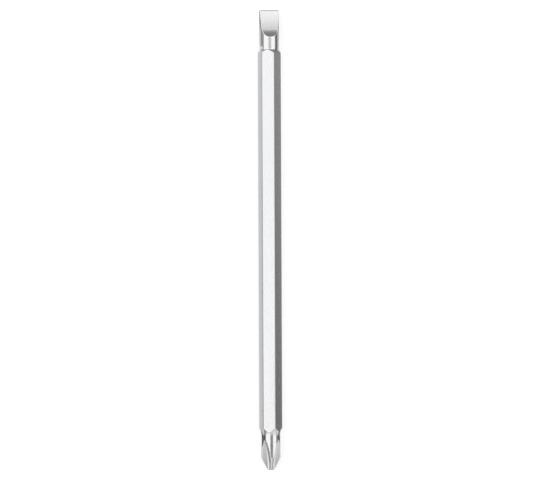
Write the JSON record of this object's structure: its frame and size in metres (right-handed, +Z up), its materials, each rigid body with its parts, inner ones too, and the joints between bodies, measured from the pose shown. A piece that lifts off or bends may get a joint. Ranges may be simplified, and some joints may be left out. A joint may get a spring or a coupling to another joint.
{
  "type": "double-ended screwdriver blade",
  "caption": "Reversible hexagonal steel screwdriver blade with a flat tip at one end and a cross tip at the other, held by its hexagon in a handle or bit holder.",
  "frame": {"origin": "under the middle of the blade's length, on the surface that it lies on", "axes": "+X along the blade towards the flat tip, +Z up through the upper flat of the hexagon"},
  "size_m": [0.142, 0.0072, 0.0063],
  "materials": {
    "satin_steel": "satin, bead-blasted flats with bright plating, finely turned necks and ground tips"
  },
  "bodies": {
    "root": {"double_ended_blade": "satin_steel"}
  },
  "joints": []
}
